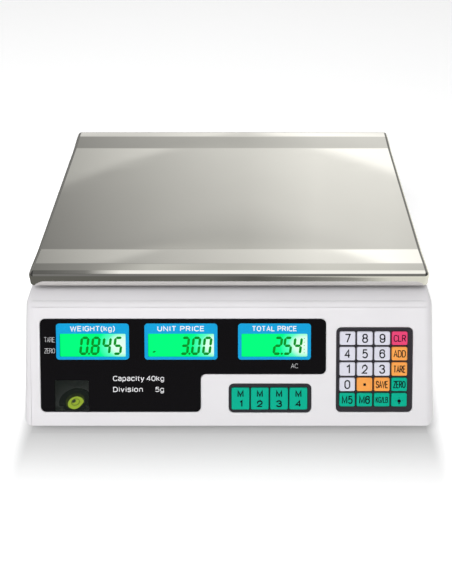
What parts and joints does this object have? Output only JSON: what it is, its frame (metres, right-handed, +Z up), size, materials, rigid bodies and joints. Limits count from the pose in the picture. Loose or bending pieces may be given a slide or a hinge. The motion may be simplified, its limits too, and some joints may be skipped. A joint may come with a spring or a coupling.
{
  "type": "retail price scale",
  "caption": "Low white counter scale with a mirror-finish lift-off pan, a sloped front with lit displays and coloured keys, and a customer display behind.",
  "frame": {"origin": "on the counter, under the middle of the housing's footprint", "axes": "+X to the vendor's right, +Y to the customer side, +Z up"},
  "size_m": [0.348, 0.33, 0.106],
  "materials": {
    "white_plastic": "fine satin texture, slightly lavender white",
    "base_plastic": "fine texture, light grey",
    "stainless_steel": "polished stainless sheet",
    "cast_aluminium": "cast and milled",
    "zinc_plated_steel": "zinc plated",
    "black_rubber": "matt",
    "display_window": "gloss black printed sheet",
    "lcd_green": "lit green display",
    "key_frame": "charcoal, satin",
    "key_white": "satin",
    "key_green": "satin",
    "key_orange": "satin",
    "key_pink": "satin",
    "circuit_board": "solder mask",
    "battery_case": "matt",
    "switch_black": "satin",
    "switch_red": "gloss",
    "level_vial": "clear yellow-green",
    "transformer": "varnished laminations and winding"
  },
  "bodies": {
    "housing": {"base_shell": "base_plastic", "top_shell": "white_plastic", "front_window": "display_window", "rear_window": "display_window", "front_lcd_weight": "lcd_green", "front_lcd_unit_price": "lcd_green", "front_lcd_total_price": "lcd_green", "front_display_board": "circuit_board", "rear_display_module": "circuit_board", "keypad_frame": "key_frame", "memory_key_frame": "key_frame", "key_board": "circuit_board", "main_board": "circuit_board", "battery": "battery_case", "transformer": "transformer", "power_inlet": "switch_black", "power_switch_body": "switch_black", "level_vial": "level_vial", "load_cell_carrier": "zinc_plated_steel", "load_cell": "cast_aluminium"},
    "platform": {"pan_support": "cast_aluminium", "pad_front_left": "black_rubber", "pad_rear_left": "black_rubber", "pad_front_right": "black_rubber", "pad_rear_right": "black_rubber"},
    "pan": {"weighing_pan": "stainless_steel"},
    "battery_flap": {"battery_door": "base_plastic"},
    "power_rocker": {"power_switch_rocker": "switch_red"},
    "stud_front_left": {"foot_stud_front_left": "zinc_plated_steel"},
    "knob_front_left": {"foot_front_left": "black_rubber"},
    "stud_front_right": {"foot_stud_front_right": "zinc_plated_steel"},
    "knob_front_right": {"foot_front_right": "black_rubber"},
    "stud_rear_left": {"foot_stud_rear_left": "zinc_plated_steel"},
    "knob_rear_left": {"foot_rear_left": "black_rubber"},
    "stud_rear_right": {"foot_stud_rear_right": "zinc_plated_steel"},
    "knob_rear_right": {"foot_rear_right": "black_rubber"},
    "key_7": {"key_7": "key_white"},
    "key_8": {"key_8": "key_white"},
    "key_9": {"key_9": "key_white"},
    "key_clear": {"key_clear": "key_pink"},
    "key_4": {"key_4": "key_white"},
    "key_5": {"key_5": "key_white"},
    "key_6": {"key_6": "key_white"},
    "key_add": {"key_add": "key_orange"},
    "key_1": {"key_1": "key_white"},
    "key_2": {"key_2": "key_white"},
    "key_3": {"key_3": "key_white"},
    "key_tare": {"key_tare": "key_orange"},
    "key_0": {"key_0": "key_white"},
    "key_point": {"key_point": "key_orange"},
    "key_save": {"key_save": "key_orange"},
    "key_zero": {"key_zero": "key_green"},
    "key_memory_5": {"key_memory_5": "key_green"},
    "key_memory_6": {"key_memory_6": "key_green"},
    "key_unit": {"key_unit": "key_green"},
    "key_light": {"key_light": "key_green"},
    "key_memory_1": {"key_memory_1": "key_green"},
    "key_memory_2": {"key_memory_2": "key_green"},
    "key_memory_3": {"key_memory_3": "key_green"},
    "key_memory_4": {"key_memory_4": "key_green"}
  },
  "joints": [
    {"name": "pan_lift", "type": "slide", "parent": "platform", "child": "pan", "axis": [0, 0, 1], "range_m": [0, 0.06]},
    {"name": "platform_deflect", "type": "slide", "parent": "housing", "child": "platform", "axis": [0, 0, 1], "range_m": [-0.0005, 0], "stiffness_N_per_m": 784000, "deforming": ["load_cell"]},
    {"name": "battery_door_hinge", "type": "hinge", "parent": "housing", "child": "battery_flap", "pos_m": [-0.159, 0.0105, 0.0121], "axis": [0, 1, 0], "range_deg": [0, 90]},
    {"name": "power_rocker_hinge", "type": "hinge", "parent": "housing", "child": "power_rocker", "pos_m": [0.1707, -0.036, 0.0619], "axis": [-0.0787, 0, 0.9969], "range_deg": [-20, 0]},
    {"name": "foot_raise_front_left", "type": "slide", "parent": "housing", "child": "stud_front_left", "axis": [0, 0, 1], "range_m": [-0.005, 0.0025]},
    {"name": "foot_turn_front_left", "type": "hinge", "parent": "stud_front_left", "child": "knob_front_left", "pos_m": [-0.138, -0.115, 0], "axis": [0, 0, 1], "range_deg": [-1441, 721]},
    {"name": "foot_raise_front_right", "type": "slide", "parent": "housing", "child": "stud_front_right", "axis": [0, 0, 1], "range_m": [-0.005, 0.0025]},
    {"name": "foot_turn_front_right", "type": "hinge", "parent": "stud_front_right", "child": "knob_front_right", "pos_m": [0.138, -0.115, 0], "axis": [0, 0, 1], "range_deg": [-1441, 721]},
    {"name": "foot_raise_rear_left", "type": "slide", "parent": "housing", "child": "stud_rear_left", "axis": [0, 0, 1], "range_m": [-0.005, 0.0025]},
    {"name": "foot_turn_rear_left", "type": "hinge", "parent": "stud_rear_left", "child": "knob_rear_left", "pos_m": [-0.138, 0.132, 0], "axis": [0, 0, 1], "range_deg": [-1441, 721]},
    {"name": "foot_raise_rear_right", "type": "slide", "parent": "housing", "child": "stud_rear_right", "axis": [0, 0, 1], "range_m": [-0.005, 0.0025]},
    {"name": "foot_turn_rear_right", "type": "hinge", "parent": "stud_rear_right", "child": "knob_rear_right", "pos_m": [0.138, 0.132, 0], "axis": [0, 0, 1], "range_deg": [-1441, 721]},
    {"name": "key_7_press", "type": "slide", "parent": "housing", "child": "key_7", "axis": [0, 0.7501, -0.6613], "range_m": [0, 0.0012], "stiffness_N_per_m": 400, "springref_m": -0.001},
    {"name": "key_8_press", "type": "slide", "parent": "housing", "child": "key_8", "axis": [0, 0.7501, -0.6613], "range_m": [0, 0.0012], "stiffness_N_per_m": 400, "springref_m": -0.001},
    {"name": "key_9_press", "type": "slide", "parent": "housing", "child": "key_9", "axis": [0, 0.7501, -0.6613], "range_m": [0, 0.0012], "stiffness_N_per_m": 400, "springref_m": -0.001},
    {"name": "key_clear_press", "type": "slide", "parent": "housing", "child": "key_clear", "axis": [0, 0.7501, -0.6613], "range_m": [0, 0.0012], "stiffness_N_per_m": 400, "springref_m": -0.001},
    {"name": "key_4_press", "type": "slide", "parent": "housing", "child": "key_4", "axis": [0, 0.7501, -0.6613], "range_m": [0, 0.0012], "stiffness_N_per_m": 400, "springref_m": -0.001},
    {"name": "key_5_press", "type": "slide", "parent": "housing", "child": "key_5", "axis": [0, 0.7501, -0.6613], "range_m": [0, 0.0012], "stiffness_N_per_m": 400, "springref_m": -0.001},
    {"name": "key_6_press", "type": "slide", "parent": "housing", "child": "key_6", "axis": [0, 0.7501, -0.6613], "range_m": [0, 0.0012], "stiffness_N_per_m": 400, "springref_m": -0.001},
    {"name": "key_add_press", "type": "slide", "parent": "housing", "child": "key_add", "axis": [0, 0.7501, -0.6613], "range_m": [0, 0.0012], "stiffness_N_per_m": 400, "springref_m": -0.001},
    {"name": "key_1_press", "type": "slide", "parent": "housing", "child": "key_1", "axis": [0, 0.7501, -0.6613], "range_m": [0, 0.0012], "stiffness_N_per_m": 400, "springref_m": -0.001},
    {"name": "key_2_press", "type": "slide", "parent": "housing", "child": "key_2", "axis": [0, 0.7501, -0.6613], "range_m": [0, 0.0012], "stiffness_N_per_m": 400, "springref_m": -0.001},
    {"name": "key_3_press", "type": "slide", "parent": "housing", "child": "key_3", "axis": [0, 0.7501, -0.6613], "range_m": [0, 0.0012], "stiffness_N_per_m": 400, "springref_m": -0.001},
    {"name": "key_tare_press", "type": "slide", "parent": "housing", "child": "key_tare", "axis": [0, 0.7501, -0.6613], "range_m": [0, 0.0012], "stiffness_N_per_m": 400, "springref_m": -0.001},
    {"name": "key_0_press", "type": "slide", "parent": "housing", "child": "key_0", "axis": [0, 0.7501, -0.6613], "range_m": [0, 0.0012], "stiffness_N_per_m": 400, "springref_m": -0.001},
    {"name": "key_point_press", "type": "slide", "parent": "housing", "child": "key_point", "axis": [0, 0.7501, -0.6613], "range_m": [0, 0.0012], "stiffness_N_per_m": 400, "springref_m": -0.001},
    {"name": "key_save_press", "type": "slide", "parent": "housing", "child": "key_save", "axis": [0, 0.7501, -0.6613], "range_m": [0, 0.0012], "stiffness_N_per_m": 400, "springref_m": -0.001},
    {"name": "key_zero_press", "type": "slide", "parent": "housing", "child": "key_zero", "axis": [0, 0.7501, -0.6613], "range_m": [0, 0.0012], "stiffness_N_per_m": 400, "springref_m": -0.001},
    {"name": "key_memory_5_press", "type": "slide", "parent": "housing", "child": "key_memory_5", "axis": [0, 0.7501, -0.6613], "range_m": [0, 0.0012], "stiffness_N_per_m": 400, "springref_m": -0.001},
    {"name": "key_memory_6_press", "type": "slide", "parent": "housing", "child": "key_memory_6", "axis": [0, 0.7501, -0.6613], "range_m": [0, 0.0012], "stiffness_N_per_m": 400, "springref_m": -0.001},
    {"name": "key_unit_press", "type": "slide", "parent": "housing", "child": "key_unit", "axis": [0, 0.7501, -0.6613], "range_m": [0, 0.0012], "stiffness_N_per_m": 400, "springref_m": -0.001},
    {"name": "key_light_press", "type": "slide", "parent": "housing", "child": "key_light", "axis": [0, 0.7501, -0.6613], "range_m": [0, 0.0012], "stiffness_N_per_m": 400, "springref_m": -0.001},
    {"name": "key_memory_1_press", "type": "slide", "parent": "housing", "child": "key_memory_1", "axis": [0, 0.7501, -0.6613], "range_m": [0, 0.0012], "stiffness_N_per_m": 400, "springref_m": -0.001},
    {"name": "key_memory_2_press", "type": "slide", "parent": "housing", "child": "key_memory_2", "axis": [0, 0.7501, -0.6613], "range_m": [0, 0.0012], "stiffness_N_per_m": 400, "springref_m": -0.001},
    {"name": "key_memory_3_press", "type": "slide", "parent": "housing", "child": "key_memory_3", "axis": [0, 0.7501, -0.6613], "range_m": [0, 0.0012], "stiffness_N_per_m": 400, "springref_m": -0.001},
    {"name": "key_memory_4_press", "type": "slide", "parent": "housing", "child": "key_memory_4", "axis": [0, 0.7501, -0.6613], "range_m": [0, 0.0012], "stiffness_N_per_m": 400, "springref_m": -0.001}
  ],
  "couplings": [
    {"joint": "foot_turn_front_left", "follows": "foot_raise_front_left", "rad_per_m": 5026.5},
    {"joint": "foot_turn_front_right", "follows": "foot_raise_front_right", "rad_per_m": 5026.5},
    {"joint": "foot_turn_rear_left", "follows": "foot_raise_rear_left", "rad_per_m": 5026.5},
    {"joint": "foot_turn_rear_right", "follows": "foot_raise_rear_right", "rad_per_m": 5026.5}
  ]
}
